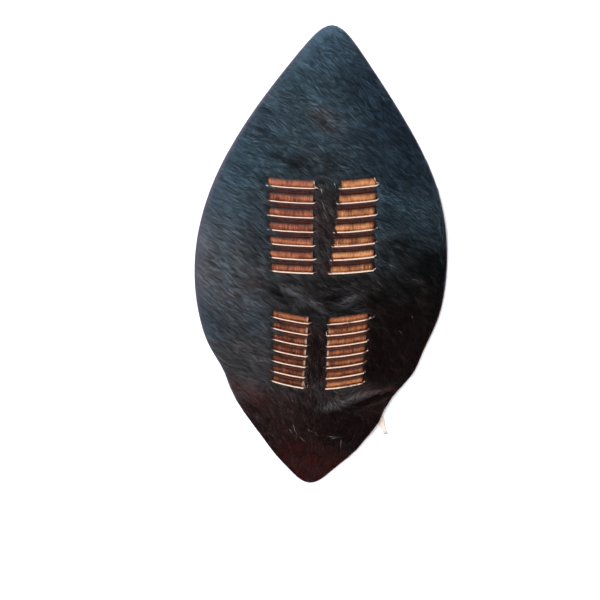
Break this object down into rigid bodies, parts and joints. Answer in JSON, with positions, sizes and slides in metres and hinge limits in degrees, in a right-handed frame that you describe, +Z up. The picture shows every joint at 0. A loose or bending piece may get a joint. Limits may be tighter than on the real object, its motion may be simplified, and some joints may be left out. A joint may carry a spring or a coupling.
{
  "type": "hide shield",
  "caption": "Pointed oval shield of domed hair-on rawhide, with flat leather strips laced over and under bars between rows of cuts.",
  "frame": {"origin": "on the floor under the middle of the shield's box, as it lies on its back", "axes": "+Y towards the top tip, +Z up out of the haired face, +X to the right of someone who looks at the front"},
  "size_m": [0.3012, 0.624, 0.048],
  "materials": {
    "black_hair_on_hide": "black cowhide with its hair on, rough and faintly sheened",
    "brown_leather": "red brown leather, finely ribbed, half matte"
  },
  "bodies": {
    "root": {"hide": "black_hair_on_hide", "lacing_upper_left": "brown_leather", "lacing_upper_right": "brown_leather", "lacing_lower_left": "brown_leather", "lacing_lower_right": "brown_leather"}
  },
  "joints": []
}
